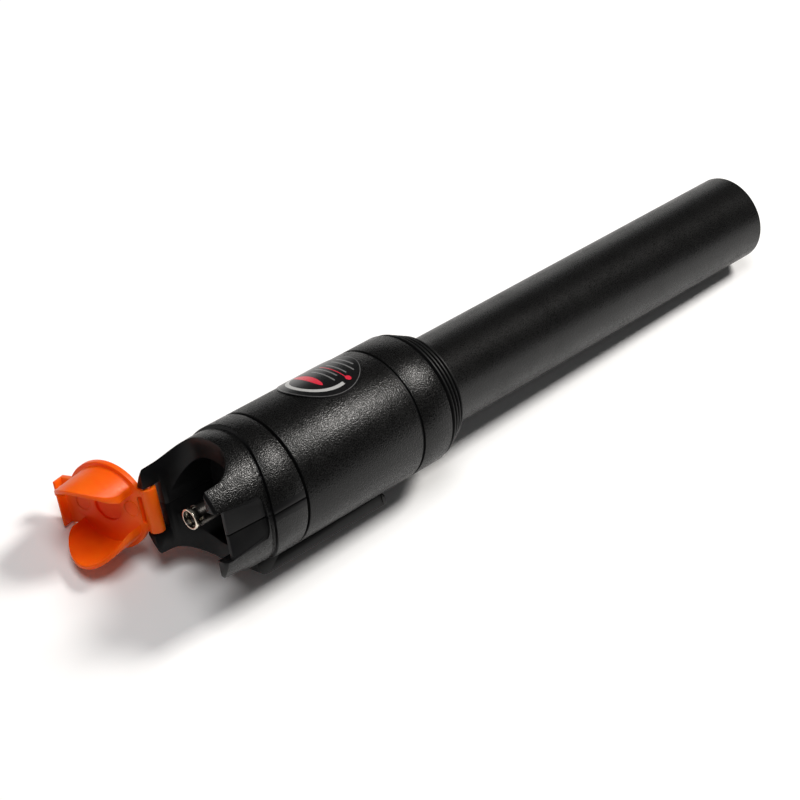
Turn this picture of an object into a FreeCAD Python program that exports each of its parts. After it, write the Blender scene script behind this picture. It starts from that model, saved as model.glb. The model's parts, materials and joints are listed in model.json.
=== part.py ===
"""Visual fault locator: a pen-shaped red laser source for testing optical fibre.

Built in the pen's own frame and laid down at the end. In the pen's frame X runs
along the axis towards the nose, Z is the label side and Y the latch side of the
lid, so the lid's hinge is on -Y and the pocket clip on -Z. X = 0 is the joint
between the head and the barrel. All sizes are in millimetres.
"""
import FreeCAD, Part
import math
import os

V = FreeCAD.Vector

# AA cells, which set the battery tube
CELL_R = 7.15
CELL_L = 50.5
CELL_PLAY = 0.45
SPRING_ROOM = 5.25       # behind the rear cell

# Outside of the pen, along the axis
NOSE_X = 18.3            # front faces of the two jaws
BARREL_L = 27.9          # barrel, between the two fine grooves
COLLAR_L = 7.0           # plain collar on the battery tube
RIB_COUNT = 4
RIB_PITCH = 1.22
RIB_GROOVE_W = 0.45
JOINT_GAP = 0.3          # half the width of the groove between head and barrel
FACE_GAP = 0.05          # flat faces of pieces that turn on each other

# Outside of the pen, radii
BODY_R = 13.0
HEAD_STEP = 0.4
HEAD_R = BODY_R - HEAD_STEP              # jaws at their root
HEAD_TAPER = 0.4
HEAD_FRONT_R = HEAD_R - HEAD_TAPER
NOSE_CHAMFER = 0.5
TUBE_BORE_R = CELL_R + CELL_PLAY
TUBE_WALL = 1.4
TUBE_R = TUBE_BORE_R + TUBE_WALL
TUBE_END_CHAMFER = 0.7
RIB_FIRST_STEP = 0.3
RIB_LAST_STEP = 1.95
RIB_FIRST_R = BODY_R - RIB_FIRST_STEP
RIB_LAST_R = TUBE_R + RIB_LAST_STEP
RIB_DEPTH = 0.5
GROOVE_DEPTH = 0.7

# Head: the curved groove, the flats, and the channel between the jaws
GROOVE_X = 8.1           # front of the curve, at the sides
GROOVE_ARC_R = 30.0
GROOVE_W = 0.9
FLAT_X = 8.8             # rear end of the flats
FLAT_REAR_DEPTH = 0.75
FLAT_FRONT_DEPTH = 1.0
FLAT_REAR_Y = HEAD_R - FLAT_REAR_DEPTH
FLAT_FRONT_Y = HEAD_FRONT_R - FLAT_FRONT_DEPTH
FLAT_HALF = 4.9
FLAT_CORNER_R = 2.5
JAW_WALL = 2.4           # from a flat to the channel, at the front
CHANNEL_HALF = FLAT_FRONT_Y - JAW_WALL
CHANNEL_BACK_X = 9.4
CHANNEL_CORNER_R = 6.0
CUP_STEP = 0.2
CUP_BORE_R = CHANNEL_HALF - CUP_STEP
CUP_FLOOR_X = 4.0
PART_LINE_W = 0.24
PART_LINE_DEPTH = 0.4
SPIGOT_L = 6.2
SPIGOT_FIT = 0.08

# Barrel wall
BARREL_WALL = 1.4
BARREL_BORE_R = BODY_R - BARREL_WALL
THREAD_STEP = 0.6
THREAD_R = BARREL_BORE_R - THREAD_STEP
THREAD_FIT = 0.08
THREAD_L = 5.2
SPIGOT_END_GAP = 0.7      # between the threaded spigot and the shoulder behind the board

# Hinge side
HINGE_X = 16.95
HINGE_INSET = 0.7
HINGE_Y = -(CHANNEL_HALF + HINGE_INSET)
PIN_R = 0.5
PIN_HALF = 6.1
PIN_FIT = 0.02
HINGE_PLAY = 0.06
KNUCKLE_R = 1.4
KNUCKLE_HALF = 4.3
NOTCH_HALF = 4.6
NOTCH_FLOOR_X = 14.7

# Lid, in its closed place
LID_INNER_X = 16.08
LID_T = 1.15
LID_GAP = 0.15
LID_R = CHANNEL_HALF - LID_GAP
STRIP_HALF = 4.5
WING_GAP = 0.75          # to the cup's bore, for the swing
WING_R = CUP_BORE_R - WING_GAP
WING_T = 0.75
WING_DEPTH = 9.4
WING_SIDE_STEP = 1.45
WING_HALF = WING_R - WING_SIDE_STEP
SEAL_RECESS_R = 2.95
SEAL_RECESS_T = 0.5
MARK_R = 1.5
MARK_T = 0.15
MARK_FROM_HINGE = 4.2
MARK_SPACING = 11.1
MARK_HINGE_Y = HINGE_Y + MARK_FROM_HINGE
MARK_LATCH_Y = MARK_HINGE_Y + MARK_SPACING
RELIEF_FROM_HINGE = 1.75 # slit beside the knuckle
RELIEF_Y = HINGE_Y + RELIEF_FROM_HINGE
RELIEF_W = 0.8
RELIEF_HALF = 2.6
LID_OPEN_DEG = 165.0

# Latch side
LIP_INSET = 0.87
LIP_Y = CHANNEL_HALF + LIP_INSET
LIP_T = 0.55
LIP_DEPTH = 3.0
LIP_ROUND = 0.25
LATCH_GAP = 0.18
LATCH_POCKET_Y = LIP_Y + LIP_T + LATCH_GAP
LATCH_POCKET_HALF = 4.65
LATCH_POCKET_X = 14.2
LATCH_SKIN_X = 16.7      # outer wall of the pocket stops short of the jaw's face
LATCH_PIN_X = 15.4
LATCH_PIN_R = 0.32
LATCH_PIN_GAP = 0.1
LATCH_PIN_Y = LIP_Y - LATCH_PIN_GAP - LATCH_PIN_R

# Fibre port
FERRULE_R = 1.25         # 2.5 mm ferrules
SPLIT_SLEEVE_T = 0.35
SPLIT_SLEEVE_L = 8.9
SPLIT_GAP = 0.35
SPLIT_INSET = 0.8
PORT_FRONT_X = 16.3
PORT_RING_R = 2.0
PORT_RING_L = 0.9
PORT_RING_CHAMFER = 0.12
PORT_NECK_R = 1.8
PORT_NECK_L = 0.9
PORT_TUBE_R = 1.95
PORT_HUB_R = 3.0
PORT_HUB_L = 2.0
PORT_HUB_CHAMFER = 0.5
PORT_FLANGE_R = 5.0
PORT_FLANGE_T = 2.1
PORT_SLOT_W = 0.6
PORT_SLOTS = 4
LIGHT_HOLE_R = 0.8
FIT = 0.05

# Laser module
LASER_R = 4.9
LASER_REAR_R = 4.4
LASER_STEP_X = -6.6
LASER_BACK_X = -13.5
LASER_BORE_R = 3.05
LASER_FRONT_T = 1.2
LASER_WINDOW_R = 1.6
LENS_T = 2.0
LENS_BULGE = 0.6
LENS_RING_T = 0.9
LENS_RING_HOLE_R = 2.1
DIODE_CAN_R = 2.35
DIODE_CAN_L = 2.4
DIODE_FLANGE_T = 1.2
DIODE_PIN_R = 0.22
DIODE_PIN_L = 4.2
DIODE_PIN_PCD_R = 1.27
DIODE_LEAD_COUNT = 3

# Circuit board, switch and button
BOARD_Y = -4.7
BOARD_T = 1.0
BOARD_HALF = 7.5
BOARD_GAP = 0.3
SWITCH_X = -13.0
SWITCH_HALF = 2.6
SWITCH_H = 3.0
PLUNGER_R = 1.45
PLUNGER_L = 1.2
PLUNGER_OUT = 0.5
PLUNGER_WELL = 1.4
BUTTON_R = 3.4
BUTTON_FIT = 0.1
BUTTON_PROUD = 0.6
BUTTON_DOME = 0.4
BUTTON_FLANGE_R = 4.3
CHIP_L = 3.6
CHIP_HALF = 2.4
CHIP_H = 1.5

# Battery contact and cells
HOLDER_T = 1.95
HOLDER_POST_GAP = 0.6    # inside the tube's bore
HOLDER_POST_R = TUBE_BORE_R - HOLDER_POST_GAP
HOLDER_POST_L = 2.25
CONTACT_R = 3.0
CONTACT_T = 0.5
CONTACT_STEM_R = 0.9
CELL_NUB_R = 2.6
CELL_NUB_L = 1.2
TUBE_END_T = 2.0
SPRING_WIRE_R = 0.45
SPRING_BIG_R = 5.6
SPRING_SMALL_R = 3.0
SPRING_TURNS = 3.5
SPRING_BENDS = 42
SPRING_WIRE_SIDES = 6

# Seal between barrel and battery tube
SEAL_T = 0.5
SEAL_STEP = 0.3
SEAL_R = BODY_R - SEAL_STEP

# Pocket clip
CLIP_HALF = 3.0
CLIP_T = 1.4
CLIP_OUT = 2.9           # outer face below the body's surface
CLIP_FRONT_X = 6.5
CLIP_TIP_X = -25.6
CLIP_TIP_R = 1.6
CLIP_ROOT_X = 0.7        # the clip is thick from here to its front
CLIP_ROOT_SINK = 1.26    # trimmed by the body's surface
CLIP_ROOT_TOP_Z = -(HEAD_R - CLIP_ROOT_SINK)
CLIP_FRONT_R = 2.2
CLIP_FOOT_HALF = 2.2
CLIP_FOOT_FRONT_X = 5.0
CLIP_FOOT_DEPTH = 1.6
CLIP_FOOT_TOP_Z = -(BODY_R - CLIP_FOOT_DEPTH)
CLIP_SEAT = 0.05
CLIP_BUMP_X = -22.6
CLIP_BUMP_R = 2.4
CLIP_BUMP_GAP = 0.15
CLIP_SCREW_X = 2.9
CLIP_SCREW_R = 0.8
CLIP_SCREW_HEAD_R = 1.5
CLIP_SCREW_HEAD_T = 0.9
CLIP_SCREW_HEAD_Z = -6.2
CLIP_SCREW_GRIP = 1.2    # in the clip's foot
CLIP_SCREW_L = CLIP_SCREW_HEAD_Z - CLIP_FOOT_TOP_Z + CLIP_SCREW_GRIP
CLIP_SCREW_PLAY = 0.15

# Label on the barrel
LABEL_HALF_L = 8.3
LABEL_HALF_W = 7.05      # across, before it is bent
LABEL_GAP_X = 9.0
LABEL_T = 0.15
LABEL_LIFT = 0.02

# Places that follow from the sizes above
BARREL_FRONT_X = -JOINT_GAP
BARREL_BACK_X = BARREL_FRONT_X - BARREL_L
SPIGOT_BACK_X = BARREL_FRONT_X - SPIGOT_L
THREAD_FRONT_X = BARREL_BACK_X + THREAD_L
SEAL_FRONT_X = BARREL_BACK_X - FACE_GAP
COLLAR_FRONT_X = SEAL_FRONT_X - SEAL_T - FACE_GAP
COLLAR_BACK_X = COLLAR_FRONT_X - COLLAR_L
HOLDER_BACK_X = THREAD_FRONT_X + FACE_GAP
HOLDER_FRONT_X = HOLDER_BACK_X + HOLDER_T
CONTACT_FRONT_X = HOLDER_BACK_X - HOLDER_POST_L
CELL_TIP_X = CONTACT_FRONT_X - CONTACT_T - FACE_GAP
TAIL_X = CELL_TIP_X - 2 * CELL_L - SPRING_ROOM - TUBE_END_T
LASER_FRONT_X = CUP_FLOOR_X - PORT_FLANGE_T - FIT
SPLIT_FRONT_X = PORT_FRONT_X - SPLIT_INSET
SPLIT_OUT_R = FERRULE_R + SPLIT_SLEEVE_T
LENS_FRONT_X = LASER_FRONT_X - LASER_FRONT_T - FIT
LENS_DOME_R = ((LASER_BORE_R - FIT) ** 2 + LENS_BULGE ** 2) / (2 * LENS_BULGE)
BOARD_BACK_X = HOLDER_FRONT_X
BOARD_FRONT_X = SPIGOT_BACK_X - BOARD_GAP
SWITCH_TOP_Y = BOARD_Y - BOARD_T - SWITCH_H
PLUNGER_TOP_Y = SWITCH_TOP_Y - PLUNGER_OUT
CLIP_BOTTOM_Z = -(BODY_R + CLIP_OUT)
LABEL_X = BARREL_FRONT_X - LABEL_GAP_X - LABEL_HALF_L
BIG = 3 * BODY_R
FAR = 1000 * BODY_R


# ---------------------------------------------------------------- helpers
def rod(x0, x1, r, y=0.0, z=0.0):
    """Cylinder along X between two stations."""
    return Part.makeCylinder(r, x1 - x0, V(x0, y, z), V(1, 0, 0))


def post(x, y, z0, z1, r):
    """Cylinder along Z between two heights."""
    return Part.makeCylinder(r, z1 - z0, V(x, y, z0), V(0, 0, 1))


def plug(x, z, y0, y1, r):
    """Cylinder along Y between two places."""
    return Part.makeCylinder(r, y1 - y0, V(x, y0, z), V(0, 1, 0))


def block(x0, x1, y0, y1, z0, z1):
    return Part.makeBox(x1 - x0, y1 - y0, z1 - z0, V(x0, y0, z0))


def slab(x0, x1, half_y, z0, z1):
    return block(x0, x1, -half_y, half_y, z0, z1)


def turned(profile):
    """Solid of revolution about X from (x, radius) points."""
    points = [V(x, 0, r) for x, r in profile]
    face = Part.Face(Part.makePolygon(points + [points[0]]))
    return face.revolve(V(0, 0, 0), V(1, 0, 0), 360)


def turned_about_y(x, profile):
    """Solid of revolution about the line along Y at station x, from (y, radius) points."""
    points = [V(x + r, y, 0) for y, r in profile]
    face = Part.Face(Part.makePolygon(points + [points[0]]))
    return face.revolve(V(x, 0, 0), V(0, 1, 0), 360)


def round_edges(shape, radius, wanted):
    """Fillet the edges that wanted(edge) picks."""
    edges = [e for e in shape.Edges if wanted(e)]
    return shape.makeFillet(radius, edges)


def along(edge, axis):
    """True for a straight edge that runs along the axis."""
    if len(edge.Vertexes) < 2 or not isinstance(edge.Curve, Part.Line):
        return False
    d = edge.Vertexes[1].Point - edge.Vertexes[0].Point
    return abs(abs(d.normalize().dot(axis)) - 1) < 1e-6


def spin_copies(shape, count):
    """The shape and its copies, evenly turned about X."""
    copies = []
    for i in range(count):
        copy = shape.copy()
        copy.rotate(V(0, 0, 0), V(1, 0, 0), 360.0 * i / count)
        copies.append(copy)
    return copies


# ---------------------------------------------------------------- head
def groove_disc(radius):
    """Disc across the pen whose rim follows the head's curved groove."""
    return plug(GROOVE_X - GROOVE_ARC_R, 0, -BIG, BIG, radius)


def head_blank():
    """Outside of the head, both halves together, with its spigot."""
    front = turned([
        (SPIGOT_BACK_X, 0), (SPIGOT_BACK_X, BARREL_BORE_R - SPIGOT_FIT),
        (BARREL_FRONT_X, BARREL_BORE_R - SPIGOT_FIT), (BARREL_FRONT_X, BODY_R - GROOVE_DEPTH),
        (JOINT_GAP, BODY_R - GROOVE_DEPTH), (JOINT_GAP, HEAD_R), (GROOVE_X, HEAD_R),
        (NOSE_X - NOSE_CHAMFER, HEAD_FRONT_R), (NOSE_X, HEAD_FRONT_R - NOSE_CHAMFER), (NOSE_X, 0)])
    collar = rod(JOINT_GAP, GROOVE_X, BODY_R).common(groove_disc(GROOVE_ARC_R - GROOVE_W / 2))
    groove = groove_disc(GROOVE_ARC_R + GROOVE_W / 2).cut(groove_disc(GROOVE_ARC_R - GROOVE_W / 2))
    groove = groove.common(rod(JOINT_GAP, NOSE_X, BIG)).cut(rod(JOINT_GAP, NOSE_X, BODY_R - GROOVE_DEPTH))
    return front.fuse(collar).cut(groove)


def channel():
    """Space between the jaws, open at the front, above and below."""
    space = slab(CHANNEL_BACK_X, NOSE_X + BODY_R, CHANNEL_HALF, -BIG, BIG)
    return round_edges(space, CHANNEL_CORNER_R, lambda e: along(e, V(0, 0, 1))
                       and e.BoundBox.XMax < CHANNEL_BACK_X + 1)


def side_flat(side):
    """Cutter for the smooth flat on the outside of one jaw, closing in towards the nose."""
    y0, y1 = sorted((side * FLAT_REAR_Y, side * BIG))
    tool = block(FLAT_X, NOSE_X + BODY_R, y0, y1, -FLAT_HALF, FLAT_HALF)
    tool = round_edges(tool, FLAT_CORNER_R, lambda e: along(e, V(0, 1, 0))
                       and e.BoundBox.XMax < FLAT_X + 1)
    lean = math.degrees(math.atan2(FLAT_REAR_Y - FLAT_FRONT_Y, NOSE_X - FLAT_X))
    tool.rotate(V(FLAT_X, side * FLAT_REAR_Y, 0), V(0, 0, 1), -side * lean)
    return tool


def parting_line(side):
    """Fine line where the two halves meet on one side."""
    half = PART_LINE_W / 2
    collar_y = sorted((side * (BODY_R - PART_LINE_DEPTH), side * BIG))
    jaw_y = sorted((side * (FLAT_FRONT_Y - PART_LINE_DEPTH), side * BIG))
    on_collar = block(JOINT_GAP, GROOVE_X, *collar_y, -half, half)
    on_jaw = block(GROOVE_X, NOSE_X + 1, *jaw_y, -half, half)
    return on_collar.fuse(on_jaw)


def head_cuts():
    """Everything that is hollow in the head."""
    cuts = [channel(), side_flat(1), side_flat(-1), parting_line(1), parting_line(-1)]
    cuts.append(rod(CUP_FLOOR_X, NOSE_X, CUP_BORE_R))
    cuts.append(rod(LASER_FRONT_X, NOSE_X, PORT_FLANGE_R + FIT))
    cuts.append(rod(SPIGOT_BACK_X - 1, LASER_FRONT_X, LASER_R + FIT))
    cuts.append(block(NOTCH_FLOOR_X, NOSE_X + 1, -BIG, -CHANNEL_HALF + 1, -NOTCH_HALF, NOTCH_HALF))
    cuts.append(block(LATCH_POCKET_X, NOSE_X + 1, CHANNEL_HALF - 1, LATCH_POCKET_Y,
                      -LATCH_POCKET_HALF, LATCH_POCKET_HALF))
    cuts.append(block(LATCH_SKIN_X, NOSE_X + 1, CHANNEL_HALF, BIG, -LATCH_POCKET_HALF, LATCH_POCKET_HALF))
    cuts.append(post(HINGE_X, HINGE_Y, -PIN_HALF - PIN_FIT, PIN_HALF + PIN_FIT, PIN_R + PIN_FIT))
    cuts.append(post(LATCH_PIN_X, LATCH_PIN_Y, -PIN_HALF - PIN_FIT, PIN_HALF + PIN_FIT,
                     LATCH_PIN_R + PIN_FIT))
    return cuts


def clip_seat_cuts():
    """Pocket for the clip's foot, and the way in for its screw."""
    gap = CLIP_SEAT
    pocket = slab(CLIP_ROOT_X - gap, CLIP_FOOT_FRONT_X + gap, CLIP_FOOT_HALF + gap,
                  -BIG, CLIP_FOOT_TOP_Z + gap)
    hole = post(CLIP_SCREW_X, 0, CLIP_FOOT_TOP_Z, 0, CLIP_SCREW_R + CLIP_SCREW_PLAY)
    well = post(CLIP_SCREW_X, 0, CLIP_SCREW_HEAD_Z - CLIP_SCREW_HEAD_T, 0,
                CLIP_SCREW_HEAD_R + CLIP_SCREW_PLAY)
    return [pocket, hole, well]


def head_half(upper):
    half = slab(SPIGOT_BACK_X - 1, NOSE_X + 1, BIG, 0, BIG)
    if not upper:
        half = slab(SPIGOT_BACK_X - 1, NOSE_X + 1, BIG, -BIG, 0)
    cuts = head_cuts() + ([] if upper else clip_seat_cuts())
    return head_blank().common(half).cut(cuts)


def hinge_pin():
    return post(HINGE_X, HINGE_Y, -PIN_HALF, PIN_HALF, PIN_R)


def latch_pin():
    return post(LATCH_PIN_X, LATCH_PIN_Y, -PIN_HALF, PIN_HALF, LATCH_PIN_R)


# ---------------------------------------------------------------- lid
def lid_wings():
    """Upper and lower wall of the cup, with rounded tongue-shaped ends."""
    ring = rod(LID_INNER_X - WING_DEPTH, LID_INNER_X + LID_T / 2, WING_R)
    ring = ring.cut(rod(LID_INNER_X - 2 * WING_DEPTH, LID_INNER_X + LID_T, WING_R - WING_T))
    tongue_x = LID_INNER_X - WING_DEPTH + WING_HALF
    corners = [V(tongue_x, WING_HALF, -LID_R), V(LID_INNER_X + LID_T, WING_HALF, -LID_R),
               V(LID_INNER_X + LID_T, -WING_HALF, -LID_R), V(tongue_x, -WING_HALF, -LID_R)]
    end = Part.Arc(corners[3], V(tongue_x - WING_HALF, 0, -LID_R), corners[0])
    outline = Part.Wire([Part.makePolygon(corners), end.toShape()])
    tongue = Part.Face(outline).extrude(V(0, 0, 2 * LID_R))
    return ring.common(tongue)


def lid_closed():
    """The lid as moulded, in its closed place."""
    outer_x = LID_INNER_X + LID_T
    plate = rod(LID_INNER_X, outer_x, LID_R)
    strip = block(LID_INNER_X, outer_x, 0, LIP_Y + LIP_T, -STRIP_HALF, STRIP_HALF)
    leaf = block(LID_INNER_X, outer_x, HINGE_Y, 0, -KNUCKLE_HALF, KNUCKLE_HALF)
    lip = block(outer_x - LIP_DEPTH, outer_x, LIP_Y, LIP_Y + LIP_T, -STRIP_HALF, STRIP_HALF)
    lip = round_edges(lip, LIP_ROUND, lambda e: along(e, V(0, 0, 1)) and e.BoundBox.XMax < outer_x - 1)
    knuckle = post(HINGE_X, HINGE_Y, -KNUCKLE_HALF, KNUCKLE_HALF, KNUCKLE_R)
    lid = plate.fuse([strip, leaf, lip, knuckle, lid_wings()])
    cuts = [post(HINGE_X, HINGE_Y, -BIG, BIG, PIN_R + HINGE_PLAY)]
    cuts.append(rod(LID_INNER_X - 1, LID_INNER_X + SEAL_RECESS_T, SEAL_RECESS_R))
    for y in (MARK_HINGE_Y, MARK_LATCH_Y):
        cuts.append(rod(LID_INNER_X - 1, LID_INNER_X + MARK_T, MARK_R, y))
    cuts.append(block(LID_INNER_X - 1, outer_x + 1, RELIEF_Y - RELIEF_W / 2, RELIEF_Y + RELIEF_W / 2,
                      -RELIEF_HALF, RELIEF_HALF))
    return lid.cut(cuts)


def lid():
    """The lid swung open against its stop."""
    shape = lid_closed()
    shape.rotate(V(HINGE_X, HINGE_Y, 0), V(0, 0, 1), -LID_OPEN_DEG)
    return shape


# ---------------------------------------------------------------- fibre port and laser
def port_sleeve():
    """Turned metal sleeve with its flange, slotted behind the front ring."""
    bore_r = SPLIT_OUT_R + PIN_FIT
    back_x = LASER_FRONT_X + FIT
    hub_x = CUP_FLOOR_X + PORT_HUB_L
    neck_x = PORT_FRONT_X - PORT_RING_L - PORT_NECK_L
    ring_x = PORT_FRONT_X - PORT_RING_L
    bore_x = SPLIT_FRONT_X - SPLIT_SLEEVE_L - PIN_FIT
    sleeve = turned([
        (back_x, LIGHT_HOLE_R), (back_x, PORT_FLANGE_R), (CUP_FLOOR_X, PORT_FLANGE_R),
        (CUP_FLOOR_X, PORT_HUB_R), (hub_x - PORT_HUB_CHAMFER, PORT_HUB_R),
        (hub_x, PORT_HUB_R - PORT_HUB_CHAMFER),
        (hub_x, PORT_TUBE_R), (neck_x, PORT_TUBE_R), (neck_x, PORT_NECK_R), (ring_x, PORT_NECK_R),
        (ring_x, PORT_RING_R), (PORT_FRONT_X - PORT_RING_CHAMFER, PORT_RING_R),
        (PORT_FRONT_X, PORT_RING_R - PORT_RING_CHAMFER),
        (PORT_FRONT_X, bore_r), (bore_x, bore_r), (bore_x, LIGHT_HOLE_R)])
    slot = slab(neck_x, ring_x, PORT_SLOT_W / 2, 0, PORT_RING_R)
    return sleeve.cut(spin_copies(slot, PORT_SLOTS))


def ceramic_sleeve():
    """Split sleeve that lines up and grips the ferrule."""
    back_x = SPLIT_FRONT_X - SPLIT_SLEEVE_L
    tube = rod(back_x, SPLIT_FRONT_X, SPLIT_OUT_R).cut(rod(back_x - 1, SPLIT_FRONT_X + 1, FERRULE_R))
    return tube.cut(slab(back_x - 1, SPLIT_FRONT_X + 1, SPLIT_GAP / 2, -SPLIT_OUT_R - 1, 0))


def laser_housing():
    front_x = LASER_FRONT_X
    return turned([
        (LASER_BACK_X, LASER_BORE_R), (LASER_BACK_X, LASER_REAR_R), (LASER_STEP_X, LASER_REAR_R),
        (LASER_STEP_X, LASER_R), (front_x, LASER_R), (front_x, LASER_WINDOW_R),
        (front_x - LASER_FRONT_T, LASER_WINDOW_R),
        (front_x - LASER_FRONT_T, LASER_BORE_R)])


def focusing_lens():
    """Plano-convex lens with its curved face to the diode."""
    back_x = LENS_FRONT_X - LENS_T
    disc = rod(back_x, LENS_FRONT_X, LASER_BORE_R - FIT)
    return disc.common(Part.makeSphere(LENS_DOME_R, V(back_x + LENS_DOME_R, 0, 0)))


def lens_ring():
    """Ring behind the lens, with its hole's edge on the curved face."""
    front_x = LENS_FRONT_X - LENS_T + LENS_RING_HOLE_R ** 2 / (2 * LENS_DOME_R) - FIT
    ring = rod(front_x - LENS_RING_T, front_x, LASER_BORE_R - FIT)
    return ring.cut(rod(front_x - BODY_R, NOSE_X, LENS_RING_HOLE_R))


def laser_diode():
    """Diode can on its flange, with three leads."""
    flange_x = LASER_BACK_X + DIODE_FLANGE_T
    flange = rod(LASER_BACK_X, flange_x, LASER_BORE_R - FIT)
    can = rod(flange_x, flange_x + DIODE_CAN_L, DIODE_CAN_R)
    lead = rod(LASER_BACK_X - DIODE_PIN_L, LASER_BACK_X, DIODE_PIN_R, 0, DIODE_PIN_PCD_R)
    return flange.fuse([can] + spin_copies(lead, DIODE_LEAD_COUNT))


# ---------------------------------------------------------------- barrel and electronics
def button_hole():
    return plug(SWITCH_X, 0, -BIG, 0, BUTTON_R + BUTTON_FIT)


def barrel():
    wall = turned([
        (BARREL_FRONT_X, BARREL_BORE_R), (BARREL_FRONT_X, BODY_R), (BARREL_BACK_X, BODY_R),
        (BARREL_BACK_X, THREAD_R), (THREAD_FRONT_X, THREAD_R), (THREAD_FRONT_X, BARREL_BORE_R)])
    return wall.cut(button_hole())


def label():
    """Oval label, bent to the barrel."""
    inner_r = BODY_R + LABEL_LIFT
    skin = rod(BARREL_BACK_X, BARREL_FRONT_X, inner_r + LABEL_T)
    skin = skin.cut(rod(BARREL_BACK_X - 1, NOSE_X, inner_r))
    long_side, short_side = max(LABEL_HALF_L, LABEL_HALF_W), min(LABEL_HALF_L, LABEL_HALF_W)
    oval = Part.Ellipse(V(LABEL_X, 0, 0), long_side, short_side)
    face = Part.Face(Part.Wire(oval.toShape()))
    return skin.common(face.extrude(V(0, 0, BIG)))


def circuit_board():
    return block(BOARD_BACK_X, BOARD_FRONT_X, BOARD_Y - BOARD_T, BOARD_Y, -BOARD_HALF, BOARD_HALF)


def driver_chip():
    back_x = BOARD_BACK_X + BOARD_GAP
    return block(back_x, back_x + CHIP_L, BOARD_Y, BOARD_Y + CHIP_H, -CHIP_HALF, CHIP_HALF)


def tact_switch():
    foot_y = BOARD_Y - BOARD_T
    case = block(SWITCH_X - SWITCH_HALF, SWITCH_X + SWITCH_HALF, SWITCH_TOP_Y, foot_y,
                 -SWITCH_HALF, SWITCH_HALF)
    well = plug(SWITCH_X, 0, SWITCH_TOP_Y - 1, SWITCH_TOP_Y + PLUNGER_WELL, PLUNGER_R + BUTTON_FIT)
    return case.cut(well)


def switch_plunger():
    return plug(SWITCH_X, 0, PLUNGER_TOP_Y, PLUNGER_TOP_Y + PLUNGER_L, PLUNGER_R)


def push_button():
    """Button with a retaining flange inside the barrel and a low dome outside."""
    flange_top = BUTTON_FIT - math.sqrt(BARREL_BORE_R ** 2 - BUTTON_FLANGE_R ** 2)
    rim_y = -(BODY_R + BUTTON_PROUD - BUTTON_DOME)
    dome_r = (BUTTON_R ** 2 + BUTTON_DOME ** 2) / (2 * BUTTON_DOME)
    body = turned_about_y(SWITCH_X, [
        (PLUNGER_TOP_Y, 0), (PLUNGER_TOP_Y, BUTTON_FLANGE_R), (flange_top, BUTTON_FLANGE_R),
        (flange_top, BUTTON_R), (rim_y - BUTTON_DOME, BUTTON_R), (rim_y - BUTTON_DOME, 0)])
    ball = Part.makeSphere(dome_r, V(SWITCH_X, rim_y - BUTTON_DOME + dome_r, 0))
    return body.common(ball.fuse(plug(SWITCH_X, 0, rim_y, 0, BUTTON_FLANGE_R + 1)))


# ---------------------------------------------------------------- battery end
def contact_holder():
    """Insulator across the barrel that carries the front contact."""
    disc = rod(HOLDER_BACK_X, HOLDER_FRONT_X, BARREL_BORE_R - SPIGOT_FIT)
    post_back = rod(CONTACT_FRONT_X, HOLDER_BACK_X, HOLDER_POST_R)
    hole = rod(CONTACT_FRONT_X - 1, HOLDER_FRONT_X + 1, CONTACT_STEM_R + PIN_FIT)
    return disc.fuse(post_back).cut(hole)


def front_contact():
    plate = rod(CONTACT_FRONT_X - CONTACT_T, CONTACT_FRONT_X, CONTACT_R)
    stem = rod(CONTACT_FRONT_X, HOLDER_FRONT_X + CONTACT_T, CONTACT_STEM_R)
    return plate.fuse(stem)


def seal_washer():
    ring = rod(SEAL_FRONT_X - SEAL_T, SEAL_FRONT_X, SEAL_R)
    return ring.cut(rod(SEAL_FRONT_X - SEAL_T - 1, 0, THREAD_R))


def battery_tube():
    """Turned tube: threaded spigot, collar, stepped ribs and a closed tail."""
    spigot_r = THREAD_R - THREAD_FIT
    spigot_x = THREAD_FRONT_X - SPIGOT_END_GAP
    outline = [(spigot_x, TUBE_BORE_R), (spigot_x, spigot_r), (COLLAR_FRONT_X, spigot_r),
               (COLLAR_FRONT_X, BODY_R), (COLLAR_BACK_X, BODY_R)]
    for i in range(RIB_COUNT):
        share = i / (RIB_COUNT - 1) if RIB_COUNT > 1 else 0
        rib_r = RIB_FIRST_R + (RIB_LAST_R - RIB_FIRST_R) * share
        front_x = COLLAR_BACK_X - i * RIB_PITCH
        outline += [(front_x, rib_r - RIB_DEPTH), (front_x - RIB_GROOVE_W, rib_r),
                    (front_x - RIB_PITCH, rib_r)]
    ribs_end_x = COLLAR_BACK_X - RIB_COUNT * RIB_PITCH
    outline += [(ribs_end_x, TUBE_R), (TAIL_X + TUBE_END_CHAMFER, TUBE_R)]
    outline += [(TAIL_X, TUBE_R - TUBE_END_CHAMFER), (TAIL_X, 0)]
    outline += [(TAIL_X + TUBE_END_T, 0), (TAIL_X + TUBE_END_T, TUBE_BORE_R)]
    return turned(outline)


def cell(tip_x):
    """One AA cell with its raised positive end towards the nose."""
    shoulder_x = tip_x - CELL_NUB_L
    return turned([
        (tip_x, 0), (tip_x, CELL_NUB_R), (shoulder_x, CELL_NUB_R), (shoulder_x, CELL_R),
        (tip_x - CELL_L, CELL_R), (tip_x - CELL_L, 0)])


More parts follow.
